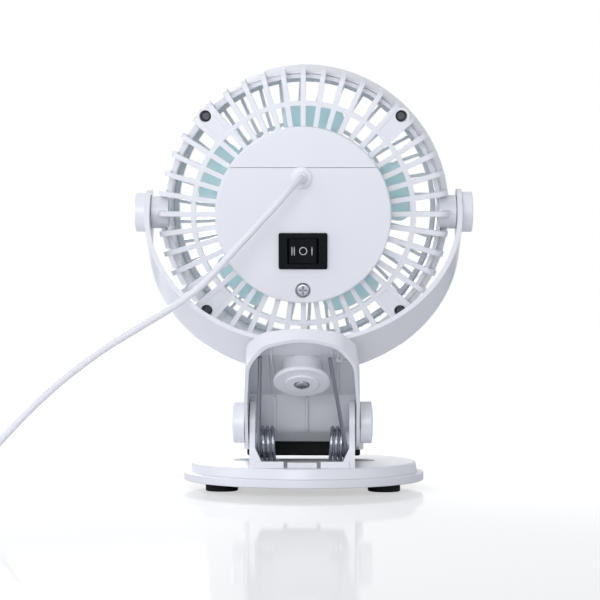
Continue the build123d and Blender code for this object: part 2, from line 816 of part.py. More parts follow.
def rear_grille():
    # the pot: floor, wall, and the part of the back plate above the seam
    pot = spun(
        (0, hub_floor),
        (hub_radius, hub_floor, 1.0),
        (hub_radius, cover_face),
        (ledge_radius, cover_face),
        (ledge_radius, cover_face - 1.4),
        (hub_radius - hub_wall, cover_face - 3.2),
        (hub_radius - hub_wall, hub_floor + 2.0),
        (0, hub_floor + 2.0),
    )
    crown = spun((0, cover_face), (hub_radius, cover_face), (hub_radius, hub_back, 0.8), (0, hub_back))
    crown = crown & block(-50, 50, seam_height, 50, 0, 40)
    cover_post = drum(3.0, hub_floor + 1, cover_face, 0, screw_height)
    board_posts = [drum(1.8, hub_floor + 1, board_front, x, board_y) for x in (-board_post_x, board_post_x)]
    mid_ring = drum(mid_ring_radius + mid_ring_width / 2, rib_back - rib_depth, rib_back)
    mid_ring = mid_ring - drum(mid_ring_radius - mid_ring_width / 2, 0, 30)
    hoop = drum(hoop_outer, hoop_front, hoop_back) - drum(hoop_inner, -20, 20)
    rib = grille_rib()
    ribs = [Rot(0, 0, i * rib_angle) * rib for i in range(rib_count)]
    shell = spun(
        (mid_ring_radius, rib_back - pad_sink),
        (rib_corner_radius - pad_sink, rib_back - pad_sink, rib_corner_round - pad_sink),
        (rib_corner_radius - pad_sink, shoulder_back + 0.2),
        (hoop_outer - 0.8, shoulder_back + 0.2),
        (rib_corner_radius - rib_depth + pad_sink, hoop_back),
        (rib_corner_radius - rib_depth + pad_sink, rib_back - rib_depth + pad_sink, 2.0),
        (mid_ring_radius, rib_back - rib_depth + pad_sink),
    )
    pads = []
    for angle in pad_angles:
        patch = extrude(sector(angle, rib_angle / 2, mid_ring_radius - 0.5, 70), amount=cut_reach, both=True)
        pads.append(shell & patch)
    columns = [drum(3.6, shoulder_back + 0.2, rib_back - 0.5, x, y) for x, y in screw_places()]
    stubs = [drum(3.6, hoop_front, 0, x, y) & drum(hoop_outer, hoop_front, 0) for x, y in screw_places()]
    boss_start = hoop_outer - 1.0
    bosses = [rod_x(pivot_boss_radius, side * boss_start, side * pivot_boss_outer, 0, 0) for side in (-1, 1)]
    rings = [crown, cover_post, mid_ring, hoop]
    body = joined(pot, *rings, *board_posts, *ribs, *pads, *columns, *stubs, *bosses)
    heads = [drum(pad_hole_radius, rib_back - screw_sink, rib_back + 5, x, y) for x, y in screw_places()]
    shanks = [drum(1.4, hoop_front - 1, rib_back, x, y) for x, y in screw_places()]
    pins = rod_x(pivot_pin_radius, -80, 80, 0, 0)
    inside = drum(hoop_inner - 0.6, -20, 9)
    pins = pins - inside
    pilot = drum(1.1, hub_floor + 1, 40, 0, screw_height)
    wires = drum(2.6, 0, 12, *lead_hole)
    motor_screws = [drum(1.35, 0, 12, x, 0) for x in (-motor_screw_x, motor_screw_x)]
    motor_seat = drum(3.1, 0, 12)
    return on_head(body.cut(*heads, *shanks, pins, pilot, wires, motor_seat, *motor_screws))


def hub_cover():
    body = spun((0, cover_face), (hub_radius, cover_face), (hub_radius, hub_back, 0.8), (0, hub_back))
    body = body & block(-50, 50, -50, seam_height - 0.15, 0, 40)
    hole = block(
        -switch_body_width / 2 - seat_gap,
        switch_body_width / 2 + seat_gap,
        switch_height - switch_body_height / 2 - seat_gap,
        switch_height + switch_body_height / 2 + seat_gap,
        0,
        40,
    )
    gland = drum(gland_neck_radius + run_gap, 0, 40, gland_x, gland_height)
    screw = drum(1.3, 0, 40, 0, screw_height)
    sink = Pos(0, screw_height, hub_back - 0.55) * Cone(2.95, 3.35, 1.1)
    return on_head(body.cut(hole, gland, screw, sink))


def cord_grommet():
    """The strain relief: a flange either side of the cover and a short nose that the lead leaves by."""
    body = spun(
        (0, gland_inner_end),
        (gland_flange_radius, gland_inner_end, 0.3),
        (gland_flange_radius, cover_face),
        (gland_neck_radius, cover_face),
        (gland_neck_radius, hub_back),
        (gland_flange_radius, hub_back),
        (gland_flange_radius, hub_back + 0.9, 0.5),
        (2.6, hub_back + 1.3, 0.6),
        (2.2, gland_back),
        (0, gland_back),
    )
    return on_head(Pos(gland_x, gland_height, 0) * body)


def hub_cover_screw():
    screw = Rot(180, 0, 0) * pan_screw(2.85, 1.0, 1.1 - run_gap, 8.0)
    return on_head(Pos(0, screw_height, hub_back - 1.1) * screw)


def switch_housing():
    half_wide = bezel_width / 2
    half_high = bezel_height / 2
    outer = block(-half_wide, half_wide, -half_high, half_high, hub_back, bezel_back)
    outer = fillet(outer.edges().filter_by(Axis.Z), 0.8)
    outer = chamfer(outer.faces().sort_by(Axis.Z)[-1].edges(), 0.6)
    body = block(
        -switch_body_width / 2,
        switch_body_width / 2,
        -switch_body_height / 2,
        switch_body_height / 2,
        switch_body_front,
        hub_back + 0.5,
    )
    opening = rocker_radius + joint_gap
    well = block(-opening, opening, -rocker_half_height - 0.25, rocker_half_height + 0.25, 12.6, 30)
    pins = Rot(90, 0, 0) * Cylinder(1.0 + run_gap, 2 * rocker_half_height + 2.4)
    pins = Pos(0, 0, rocker_pivot) * pins
    return on_head(Pos(0, switch_height, 0) * joined(outer, body).cut(well, pins))


def rocker_button():
    """The rocking key: hollowed face, trunnions at its ends, round flanks that clear the bezel."""
    face = Plane.XZ * outline(
        (-5.9, rocker_pivot + 2.1, 0.5),
        (0, rocker_pivot + 1.1, 30),
        (5.9, rocker_pivot + 2.1, 0.5),
        (6.0, rocker_pivot - 0.6, 1),
        (3.2, rocker_pivot - 4.5, 1),
        (-3.2, rocker_pivot - 4.5, 1),
        (-6.0, rocker_pivot - 0.6, 1),
    )
    body = extrude(face, amount=rocker_half_height, both=True)
    pins = Rot(90, 0, 0) * Cylinder(1.0, 2 * rocker_half_height + 2.0)
    pins = Pos(0, 0, rocker_pivot) * pins
    return on_head(Pos(0, switch_height, 0) * joined(body, pins))


def switch_terminals():
    blades = []
    bottom = switch_height - terminal_half
    top = switch_height + terminal_half
    for x in (-terminal_pitch, 0, terminal_pitch):
        blade = block(x - 0.4, x + 0.4, bottom, top, switch_body_front - 2.0, switch_body_front)
        blades.append(on_head(blade))
    return blades


# ---- head: front housing and grille --------------------------------------------------------------


def front_housing():
    outer_in = rim_radius - rim_wall
    duct_out = duct_radius + duct_wall
    body = spun(
        (hoop_outer + 0.2, shoulder_back),
        (hoop_outer + 1.2, shoulder_back, 0.4),
        (rim_radius, shoulder_front, 3.0),
        (rim_radius, -21.5, 6.0),
        (rim_radius - front_lip_step, rim_front, 1.5),
        (lip_radius, -25.6, 0.4),
        (lip_radius, duct_front),
        (duct_radius, duct_front),
        (duct_radius, hoop_front - 0.2),
        (duct_out, hoop_front - 0.2),
        (duct_out, -24.0),
        (outer_in, -20.8, 3.0),
        (outer_in, shoulder_front - 0.4, 2.0),
        (hoop_outer + 0.2, shoulder_back - 3.2),
    )
    sleeves = [drum(screw_sleeve_radius, -20.0, hoop_front - 0.2, x, y) for x, y in screw_places()]
    body = joined(body, *sleeves)
    notches = []
    for side in (-1, 1):
        inner_end = side * (hoop_inner - 2)
        outer_end = side * (rim_radius + 10)
        notches.append(rod_x(pivot_boss_radius + seat_gap, inner_end, outer_end, 0, 0))
    keep = drum(rim_radius + 20, -40, -7.6)
    notches = [notch - keep for notch in notches]
    pilots = [drum(1.15, -18.0, 0, x, y) for x, y in screw_places()]
    return on_head(body.cut(*notches, *pilots))


def swirl_rib(angle, start, end, width, lead):
    """A front grille rib: a thin arc from one radius to another, its outer end turned on by lead degrees."""
    a = math.radians(angle)
    m = math.radians(angle + 0.32 * lead)
    b = math.radians(angle + lead)
    middle = (start + end) / 2
    spine = ThreePointArc(
        (start * math.cos(a), start * math.sin(a)),
        (middle * math.cos(m), middle * math.sin(m)),
        (end * math.cos(b), end * math.sin(b)),
    )
    left = offset_points(spine, width / 2)
    right = offset_points(spine, -width / 2)
    edges = [
        ThreePointArc(*left),
        Line(left[2], right[2]),
        ThreePointArc(right[2], right[1], right[0]),
        Line(right[0], left[0]),
    ]
    return make_face(edges)


def offset_points(spine, distance):
    """Three points beside a flat arc."""
    points = []
    for share in (0, 0.5, 1):
        along = spine % share
        points.append(spine @ share + Vector(-along.Y, along.X) * distance)
    return points


def front_grille():
    ring_inner = lip_radius - grille_ring_width
    dome = spun(
        (0, duct_front),
        (front_disc_radius + 2, duct_front, 30),
        (ring_inner, -21.9),
        (duct_radius - seat_gap, -21.9),
        (duct_radius - seat_gap, -24.4),
        (lip_radius - lip_gap, -24.4),
        (lip_radius - lip_gap, -25.2, 0.3),
        (front_disc_radius + 4, -27.6, 60),
        (0, -28.0),
    )
    step = 360.0 / front_rib_count
    ribs = [
        swirl_rib(i * step, front_disc_radius - 1.0, ring_inner + 0.7, front_rib_width, front_rib_turn)
        for i in range(front_rib_count)
    ]
    columns = [Pos(0, 0, -35) * extrude(rib, amount=20) for rib in ribs]
    ring = drum(duct_radius + 2, -40, 0) - drum(ring_inner, -41, 1)
    hoop = drum(front_hoop_radius, -40, 0) - drum(front_hoop_radius - front_hoop_width, -41, 1)
    disc = drum(front_disc_radius, -40, 0)
    sheet = joined(disc, ring, hoop, *columns)
    body = dome & sheet
    dish = Pos(0, 0, -28.0 - front_dish_middle) * Sphere(front_dish_radius)
    groove = drum(front_disc_radius - 2.4, -40, -27.4) - drum(front_disc_radius - 3.0, -41, -20)
    body = body.cut(dish, groove)
    return on_head(body)


def housing_screws():
    screw = Rot(180, 0, 0) * pan_screw(2.3, 1.2, 1.15 - run_gap, housing_screw_length)
    return [on_head(Pos(x, y, rib_back - screw_sink) * screw) for x, y in screw_places()]


def tilt_knob(side):
    """A round knob on a pin that turns in the yoke and sits fast in the head's boss."""
    crown = knob_outer - 0.4
    profile = outline(
        (0, hoop_outer + 0.4),
        (pivot_pin_radius, hoop_outer + 0.4),
        (pivot_pin_radius, knob_inner),
        (knob_radius, knob_inner, 0.3),
        (knob_radius, crown, 0.35),
        (5.6, knob_outer, 6.0),
        (0, knob_outer),
    )
    knob = revolve(Plane.XZ * profile, Axis.Z)
    return on_head(Rot(0, side * 90, 0) * knob)


# ---- impeller and motor --------------------------------------------------------------------------
def blade():
    """One helical blade, trimmed to its petal outline and to the cup."""
    rise = blade_back - blade_front
    sections = []
    for radius in (cup_radius - 3.5, (cup_radius + blade_tip) / 2, blade_tip + 2.5):
        chord = 2 * radius * math.sin(math.radians(blade_half_angle))
        pitch = math.degrees(math.atan2(rise, chord))
        plane = Plane(origin=(radius, 0, (blade_back + blade_front) / 2), x_dir=(0, 1, 0), z_dir=(1, 0, 0))
        strip = Rectangle(math.hypot(chord, rise) * 1.15, blade_thickness)
        sections.append(plane * (Rot(0, 0, pitch) * strip))
    slab = loft(sections, ruled=True)
    petal = sector(0, blade_half_angle, cup_radius - 0.8, blade_tip)
    petal = fillet([v for v in petal.vertices() if v.center().length > blade_tip - 1], blade_corner)
    column = Pos(0, 0, blade_front - 0.6) * extrude(petal, amount=blade_back - blade_front + 1.2)
    return slab & column


def impeller():
    cup = spun(
        (0, cup_front),
        (cup_radius, cup_front, 2.5),
        (cup_radius, cup_back, 0.3),
        (cup_radius - 1.6, cup_back, 0.3),
        (cup_radius - 1.6, cup_front + 1.8, 1.2),
        (3.0, cup_front + 1.8),
        (3.0, motor_front - 0.6),
        (0, motor_front - 0.6),
    )
    petals = [Rot(0, 0, blade_start_angle + i * 360.0 / blade_count) * blade() for i in range(blade_count)]
    body = joined(cup, *petals)
    return on_head(body - drum(shaft_radius, cup_front + 1.0, 0))


def motor_body():
    can = spun(
        (shaft_radius + run_gap, motor_front),
        (3.0, motor_front),
        (3.0, motor_front + 0.8),
        (motor_radius, motor_front + 0.8, 0.8),
        (motor_radius, motor_back - 2.2),
        (shaft_radius + run_gap, motor_back - 2.2),
    )
    return on_head(can)


def motor_end_cap():
    cap = spun(
        (0, motor_back - 2.2),
        (motor_radius, motor_back - 2.2),
        (motor_radius, motor_back, 0.4),
        (3.0, motor_back),
        (3.0, motor_back + 1.6),
        (0, motor_back + 1.6),
    )
    pilots = [drum(1.05, motor_back - 1.8, 20, x, 0) for x in (-motor_screw_x, motor_screw_x)]
    bearing = drum(shaft_radius + run_gap, -20, motor_back + 0.8)
    return on_head(cap.cut(bearing, *pilots))


def motor_screws():
    screw = Rot(180, 0, 0) * pan_screw(2.0, 1.0, 1.0, 3.6)
    return [on_head(Pos(x, 0, hub_floor + 2.0) * screw) for x in (-motor_screw_x, motor_screw_x)]


def motor_shaft():
    return on_head(drum(shaft_radius, cup_front + 1.0, motor_back + 0.6))


# ---- electrics in the pot ------------------------------------------------------------------------
def control_board():
    bottom = board_y - board_below
    top = board_y + board_above
    board_back = board_front + board_thickness
    board = block(-board_half_width, board_half_width, bottom, top, board_front, board_back)
    holes = [drum(1.0, 0, 30, x, board_y) for x in (-board_post_x, board_post_x)]
    return on_head(board.cut(*holes))


def board_components():
    top = board_front + board_thickness
    socket = block(6.0, 11.5, board_y - 4.0, board_y + 3.5, top, top + 4.2)
    resistor = rod_x(1.6, -11.0, -2.5, board_y + 4.0, top + 1.7)
    capacitor = drum(2.5, top, top + 5.4, -8.6, board_y - 2.4)
    return [on_head(piece) for piece in (socket, resistor, capacitor)]


def bent_tube(points):
    """A thin lead through points in the head's axes, with rounded corners."""
    shortest = min(math.dist(a, b) for a, b in zip(points, points[1:]))
    bend = min(inner_lead_bend, 0.45 * shortest)
    return tube(FilletPolyline(*points, radius=bend).edges(), inner_lead_diameter)


def inner_leads():
    top = board_front + board_thickness
    high = cover_face - 3.2
    switch_side = switch_height + switch_body_height / 2 + 0.8
    terminal_end = switch_height + terminal_half
    under_board = board_front - 1.0
    terminals = switch_body_front - 1.2
    to_switch = [
        (0, board_y - 3.0, top),
        (0, board_y - 3.0, high),
        (0, switch_side, high),
        (0, switch_side, terminals),
        (0, terminal_end, terminals),
    ]
    turn = top + 4.2
    supply = [
        (gland_x - 0.8, gland_height, gland_inner_end),
        (gland_x - 0.8, gland_height, turn),
        (3.6, board_y + 3.3, turn),
        (3.6, board_y + 3.3, top),
    ]
    lead_y = lead_hole[1]
    over_edge = board_y + board_above + 3.0
    hump = top + 2.4
    to_motor = [
        (0.9, lead_y, motor_back),
        (0.9, lead_y, under_board),
        (0.9, over_edge, under_board),
        (0.9, over_edge, hump),
        (0.9, board_y + 4.6, hump),
        (0.9, board_y + 4.6, top),
    ]
    return [on_head(bent_tube(points)) for points in (to_switch, supply, to_motor)]


# ---- lead ----------------------------------------------------------------------------------------
def free_route():
    """The lead's corners from the strain relief down to the desk, straight runs between them."""
    mouth = head_point(gland_x, gland_height, gland_back)
    return [
        mouth,
        head_point(gland_x, gland_height, gland_back + gland_run),
        Vector(-3.8, -52.5, 127.7),
        Vector(-8.6, -55.2, 122.5),
        Vector(-17.9, -56.2, 112.8),
        Vector(-30.1, -56.6, 99.3),
        Vector(-40.7, -57.4, 88.0),
        Vector(-51.6, -58.6, 79.2),
        Vector(-64.0, -60.4, 71.0),
        Vector(-81.8, -64.0, 59.4),
        Vector(-100.0, -69.6, 44.8),
        Vector(-116.5, -76.0, 27.5),
        Vector(-130.6, -79.6, 10.6),
        Vector(-143.5, -80.0, floor_line),
        Vector(*coil_start, floor_line),
    ]


def cord_free():
    corners = free_route()
    radii = []
    for before, here, after in zip(corners, corners[1:], corners[2:]):
        first = here - before
        second = after - here
        half = math.radians(first.get_angle(second) / 2)
        radii.append(0.45 * min(first.length, second.length) / math.tan(half))
    print("lead bend radii", [round(radius, 1) for radius in radii])
    edges = FilletPolyline(*corners, radius=radii).edges()
    length = sum(edge.length for edge in edges)
    lead = tube(edges, cord_diameter)
    volume = length * math.pi * cord_diameter**2 / 4
    print("free run", round(length, 1), "volume by length", round(volume, 1))
    return lead


def coil_edges():
    """Two flat spirals of half turns, the lower one inwards and the upper one outwards, joined by a climb."""
    here = Vector(*coil_start, floor_line)
    inwards = Vector(0, 1, 0)
    heading = Vector(-1, 0, 0)
    edges = []
    radius = coil_outer_radius
    for i in range(turns_in):
        centre = here + inwards * radius
        end = centre + inwards * radius
        edges.append(Edge.make_three_point_arc(here, centre + heading * radius, end))
        here, heading, inwards = end, heading * -1, inwards * -1
        radius -= coil_pitch / 2
    end = here + inwards * 2 * radius + Vector(0, 0, coil_lift)
    edges += both_arcs(here, heading, end, heading * -1)
    here, heading, inwards = end, heading * -1, inwards * -1
    for i in range(turns_out):
        radius += coil_pitch / 2
        centre = here + inwards * radius
        end = centre + inwards * radius
        edges.append(Edge.make_three_point_arc(here, centre + heading * radius, end))
        here, heading, inwards = end, heading * -1, inwards * -1
    radius += coil_pitch / 2
    centre = here + inwards * radius
    end = centre + heading * radius
    slant = math.sqrt(0.5) * radius
    edges.append(Edge.make_three_point_arc(here, centre + heading * slant - inwards * slant, end))
    edges.append(Edge.make_line(end, end + inwards * plug_run))
    return edges


def cord_coil():
    edges = coil_edges()
    length = sum(edge.length for edge in edges)
    print("coil gap", round(least_gap(edges, cord_diameter, 12.0), 3), "length", round(length, 1))
    return tube(edges, cord_diameter)


def plug_frame():
    end = coil_edges()[-1] @ 1
    return Location((end.X, end.Y, end.Z))


def usb_plug_body():
    half = floor_line + coil_lift - 0.05
    body = block(-plug_width / 2, plug_width / 2, 0, plug_length, -half, half)
    body = fillet(body.edges().filter_by(Axis.Y), 2.0)
    body = fillet(body.faces().sort_by(Axis.Y)[0].edges(), 1.2)
    mouth = block(
        -plug_shell_width / 2,
        plug_shell_width / 2,
        plug_length - plug_overlap,
        plug_length + 1,
        -plug_shell_height / 2,
        plug_shell_height / 2,
    )
    return plug_frame() * (body - mouth)


def usb_plug_shell():
    w = plug_shell_width / 2
    h = plug_shell_height / 2
    start = plug_length - plug_overlap
    end = plug_length + plug_shell_length
    body = block(-w, w, start, end, -h, h)
    body = fillet(body.edges().filter_by(Axis.Y), 0.4)
    hollow = block(-w + 0.35, w - 0.35, start + 1, end + 1, -h + 0.35, h - 0.35)
    latches = [block(x - 1.3, x + 1.3, end - 8.2, end - 5.8, 0, h + 1) for x in (-2.9, 2.9)]
    return plug_frame() * body.cut(hollow, *latches)


def usb_plug_tongue():
    w = plug_shell_width / 2 - 0.45
    h = plug_shell_height / 2
    start = plug_length - plug_overlap + 1
    end = plug_length + plug_shell_length - 0.8
    body = block(-w, w, start, end, -h + 0.35, -h + 2.15)
    return plug_frame() * body


# ---- nodes ---------------------------------------------------------------------------------------
save("base_shell", base_shell())
save("base_cover", base_cover())
save("foot_pads", *foot_pads())
save("base_screws", *base_screws())
save("lower_grip_pad", lower_grip_pad())
save("hinge_pin_left", hinge_pin(-1))
save("hinge_pin_right", hinge_pin(1))
save("spring_left", spring(-1))
save("spring_right", spring(1))
save("clamp_arm", clamp_arm())
save("jaw_pad", jaw_pad())
save("yoke", yoke())
save("swivel_retainer", swivel_retainer())
save("swivel_screw", swivel_screw())
save("rear_grille", rear_grille())
save("hub_cover", hub_cover())
save("cord_grommet", cord_grommet())
save("hub_cover_screw", hub_cover_screw())
save("switch_housing", switch_housing())
save("rocker_button", rocker_button())
save("switch_terminals", *switch_terminals())
save("front_housing", front_housing())
save("front_grille", front_grille())
save("housing_screws", *housing_screws())
save("tilt_knob_left", tilt_knob(-1))
save("tilt_knob_right", tilt_knob(1))
save("impeller", impeller())
save("motor_body", motor_body())
save("motor_end_cap", motor_end_cap())
save("motor_screws", *motor_screws())
save("motor_shaft", motor_shaft())
save("control_board", control_board())
save("board_components", *board_components())
save("inner_leads", *inner_leads())
save("cord_free", cord_free())
save("cord_coil", cord_coil())
save("usb_plug_body", usb_plug_body())
save("usb_plug_shell", usb_plug_shell())
save("usb_plug_tongue", usb_plug_tongue())
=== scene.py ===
# %% [markdown]
# # A clip-on desk fan
# A round caged head hangs in a half-round yoke, the yoke turns on a sprung clamp, and the clamp stands on
# a round foot. The solids come from the CAD frame and are never moved here. What this lesson adds is
# light, a camera, finishes, the soft lead and the small printed or soft things that a solid model leaves
# out.

# %% Load the frame
import json
import math
import bpy
from mathutils import Matrix, Vector
from mathutils.bvhtree import BVHTree


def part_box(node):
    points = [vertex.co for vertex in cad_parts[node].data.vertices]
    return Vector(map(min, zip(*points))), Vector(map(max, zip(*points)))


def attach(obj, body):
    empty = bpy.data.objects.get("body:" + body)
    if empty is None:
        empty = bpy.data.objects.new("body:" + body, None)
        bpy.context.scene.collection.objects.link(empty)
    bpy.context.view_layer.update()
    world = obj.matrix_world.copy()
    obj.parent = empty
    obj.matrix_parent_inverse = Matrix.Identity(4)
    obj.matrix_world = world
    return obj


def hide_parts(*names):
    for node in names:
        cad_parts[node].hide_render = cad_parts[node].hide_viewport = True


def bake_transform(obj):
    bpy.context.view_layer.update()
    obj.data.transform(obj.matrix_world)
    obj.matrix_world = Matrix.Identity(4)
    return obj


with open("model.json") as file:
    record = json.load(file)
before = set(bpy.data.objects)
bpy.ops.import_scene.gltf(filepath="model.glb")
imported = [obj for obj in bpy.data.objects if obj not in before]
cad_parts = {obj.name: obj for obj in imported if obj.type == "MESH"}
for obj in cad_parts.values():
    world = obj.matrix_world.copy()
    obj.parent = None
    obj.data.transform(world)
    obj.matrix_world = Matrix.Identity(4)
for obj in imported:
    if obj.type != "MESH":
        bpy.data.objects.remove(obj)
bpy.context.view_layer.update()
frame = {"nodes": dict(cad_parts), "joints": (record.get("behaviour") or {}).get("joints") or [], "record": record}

scene = bpy.context.scene
nodes = frame["nodes"]
joints = {joint["name"]: joint for joint in frame["joints"]}

# %% [markdown]
# ## The camera
# A product picture like this one is taken from well back with a long lens, so that the round head stays
# round. The stand-off, height and turn were fitted to places that are easy to find on the object, such as
# the feet, the switch and the ends of the tilt knobs. The horizon runs through the top of the clamp, so
# the foot shows only a sliver of its top. A lens is given in millimetres for a sensor 36 mm wide, so a
# focal length measured in pixels is scaled by the sensor's width over the picture's.

# %% Camera
picture_pixels = 600
focal_pixels = 1744
eye = Vector((0.0120, -0.7669, 0.0672))
turn_left = math.radians(1.03)
look_up = math.radians(1.08)
roll = math.radians(0.1)


def new_object(name, data):
    """An object of that data, linked to the scene so that it shows."""
    thing = bpy.data.objects.new(name, data)
    scene.collection.objects.link(thing)
    return thing


camera = new_object("camera", bpy.data.cameras.new("camera"))
scene.camera = camera
camera.data.sensor_width = 36.0
camera.data.lens = focal_pixels / picture_pixels * camera.data.sensor_width
camera.data.clip_start = 0.05
aim = Matrix.Rotation(turn_left, 4, "Z") @ Matrix.Rotation(math.radians(90) + look_up, 4, "X")
camera.matrix_world = Matrix.Translation(eye) @ aim @ Matrix.Rotation(roll, 4, "Z")
print("lens in mm", round(camera.data.lens, 1), "stand-off in mm", round(1000 * eye.length))

# %% [markdown]
# ## Places on the tilted head
# The head leans back a little, so places on it are easiest to give in its own directions: to the right, up
# the head, and towards its back. Those directions come from the joints of the frame, so they stay true if
# the model changes.

# %% Head directions
tilt_pivot = Vector(joints["head_tilt"]["pos_m"])
blow = Vector(joints["impeller_spin"]["axis"]).normalized()
rightwards = Vector((1, 0, 0))
head_up = rightwards.cross(blow)


def on_head(right, up, back):
    """A place on the head, from millimetres in the head's own directions."""
    return tilt_pivot + (rightwards * right + head_up * up - blow * back) / 1000


print("head leans back by", round(math.degrees(math.asin(blow.z)), 1), "degrees")

# %% [markdown]
# ## The lead
# A thin power lead leaves the strain relief above the switch, droops clear of the cage, and runs down to
# the desk. A lead is one soft round tube, so it is drawn as a curve with a round bevel. A NURBS curve of
# order 3 is used because it rounds each corner between its control points by itself, which is how a soft
# lead bends. The control points are the corners of the lead's route, in metres. The bevel is 1 and each
# point's radius is the lead's own, so that the curve's bounding box fits the lead.

# %% Lead: the free run
lead_diameter = 0.003


def soft_line(name, points, diameter):
    """A round tube along one smooth open spline."""
    curve = bpy.data.curves.new(name, "CURVE")
    curve.dimensions = "3D"
    spline = curve.splines.new("NURBS")
    spline.points.add(len(points) - 1)
    for corner, place in zip(spline.points, points):
        corner.co = (*place, 1.0)
        corner.radius = diameter / 2
    spline.order_u = 3
    spline.use_endpoint_u = True
    spline.resolution_u = 12
    curve.bevel_depth = 1.0
    curve.bevel_resolution = 6
    curve.use_fill_caps = True
    return new_object(name, curve)


free_points = [
    on_head(-0.7, 15.9, 23.75),
    on_head(-0.7, 15.9, 32.05),
    (-0.0038, -0.0525, 0.1277),
    (-0.0082, -0.0552, 0.1221),
    (-0.0173, -0.0562, 0.1122),
    (-0.0295, -0.0566, 0.0987),
    (-0.0398, -0.0574, 0.0870),
    (-0.0510, -0.0586, 0.0784),
    (-0.0638, -0.0604, 0.0707),
    (-0.0818, -0.0640, 0.0594),
    (-0.1000, -0.0696, 0.0448),
    (-0.1165, -0.0760, 0.0275),
    (-0.1306, -0.0796, 0.0106),
    (-0.1435, -0.0800, 0.0015),
    (-0.1560, -0.0800, 0.0015),
]
free_run = soft_line("lead_free_run", free_points, lead_diameter)
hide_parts("cord_free")
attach(free_run, "head")
print("free run has", len(free_points), "control points")

# %% [markdown]
# ## The coil
# The rest of the lead is put away in a neat coil on the desk, outside the picture. Each half turn is an
# arc with its own radius. The first layer winds inwards, one half turn climbs onto it, and the second
# layer winds back out on top, so that the plug ends on the outside. The control points of a half turn
# stand a little outside its arc, because the curve passes inside the corners of its control line. After
# the last turn, a straight run goes to the plug, and one more control point near its start rounds the
# corner there.

# %% Lead: the coil
coil_start = Vector(free_points[-1])
outer_radius = 0.022
turn_pitch = 0.0035
layer_lift = 0.00345
turns_in = 7
turns_out = 6
corners_per_half_turn = 10
plug_run = 0.0195
bend_share = 0.3


def half_turn(here, heading, inwards, radius, rise, corners):
    """Control points of a half turn, and the place where it ends."""
    centre = here + inwards * radius
    half_step = math.pi / corners / 2
    reach = radius / math.cos(half_step)
    points = []
    for i in range(corners):
        turned = (2 * i + 1) * half_step
        lift = Vector((0, 0, rise * (1 - math.cos(turned)) / 2))
        points.append(centre + (heading * math.sin(turned) - inwards * math.cos(turned)) * reach + lift)
    return points, here + inwards * 2 * radius + Vector((0, 0, rise))


coil_points = [coil_start]
here = coil_start
heading = Vector((-1, 0, 0))
inwards = Vector((0, 1, 0))
radii = [outer_radius - i * turn_pitch / 2 for i in range(turns_in)]
climb_radius = radii[-1] - turn_pitch / 2
outward_radii = [climb_radius + (i + 1) * turn_pitch / 2 for i in range(turns_out)]
rises = [0.0] * turns_in + [layer_lift] + [0.0] * turns_out
for radius, rise in zip(radii + [climb_radius] + outward_radii, rises):
    points, here = half_turn(here, heading, inwards, radius, rise, corners_per_half_turn)
    coil_points += points
    heading, inwards = -heading, -inwards
last_radius = outward_radii[-1] + turn_pitch / 2
points, _ = half_turn(here, heading, inwards, last_radius, 0.0, corners_per_half_turn)
coil_points += points[: corners_per_half_turn // 2]
coil_end = here + inwards * last_radius + heading * last_radius
plug_start = coil_end + inwards * plug_run
coil_points += [coil_end + inwards * plug_run * bend_share, plug_start]
print("coil has", len(coil_points), "control points and ends at", [round(1000 * c, 1) for c in plug_start])

# %% [markdown]
# The plug, its steel shell and its tongue are solids of the frame. Where the lead enters the plug it has a
# moulded sleeve with ring grooves that keep the lead from kinking. It is turned like wood on a lathe: a
# profile of radii along the lead's line is spun round it. Each ring is a crest and a groove, a little
# thicker than the one before. Shares of the ring's pitch say where they begin and end. The thick end
# reaches a little way into the plug.

# %% Turned pieces
def turned_mesh(name, profile, origin, along, segments=48):
    """A closed body of revolution: profile is a list of (distance along, radius) in metres."""
    along = Vector(along).normalized()
    side = along.orthogonal().normalized()
    across = along.cross(side)
    verts, faces = [], []
    for distance, radius in profile:
        for i in range(segments):
            angle = 2 * math.pi * i / segments
            ray = side * math.cos(angle) + across * math.sin(angle)
            verts.append(Vector(origin) + along * distance + ray * radius)
    for ring in range(len(profile) - 1):
        for i in range(segments):
            a = ring * segments + i
            b = ring * segments + (i + 1) % segments
            faces.append((a, b, b + segments, a + segments))
    faces.append(tuple(reversed(range(segments))))
    faces.append(tuple(range(len(verts) - segments, len(verts))))
    mesh = bpy.data.meshes.new(name)
    mesh.from_pydata(verts, [], faces)
    mesh.shade_smooth()
    return new_object(name, mesh)


sleeve_length = 0.0105
sleeve_play = 0.0001
sleeve_thin = 0.0020
sleeve_growth = 0.0011
sleeve_thick = 0.0034
sleeve_sunk = 0.0003
ring_count = 6
ring_pitch = sleeve_length / ring_count
ring_rise = 0.0003
ring_shares = (0.20, 0.55)
groove_depth = 0.0002
groove_shares = (0.70, 1.00)

sleeve_profile = [(-sleeve_length, lead_diameter / 2 + sleeve_play), (-sleeve_length, sleeve_thin)]
for i in range(ring_count):
    radius = sleeve_thin + sleeve_growth * i / ring_count
    crest = [((i + share) * ring_pitch - sleeve_length, radius + ring_rise) for share in ring_shares]
    groove = [((i + share) * ring_pitch - sleeve_length, radius - groove_depth) for share in groove_shares]
    sleeve_profile += crest + groove
sleeve_profile += [(0.0, sleeve_thick), (sleeve_sunk, sleeve_thick)]
plug_sleeve = turned_mesh("plug_sleeve", sleeve_profile, plug_start, (0, 1, 0))
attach(plug_sleeve, "base")

coil = soft_line("lead_coil", coil_points, lead_diameter)
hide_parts("cord_coil")
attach(coil, "base")
print("plug sleeve", round(1000 * sleeve_length, 1), "mm long with", ring_count, "rings")

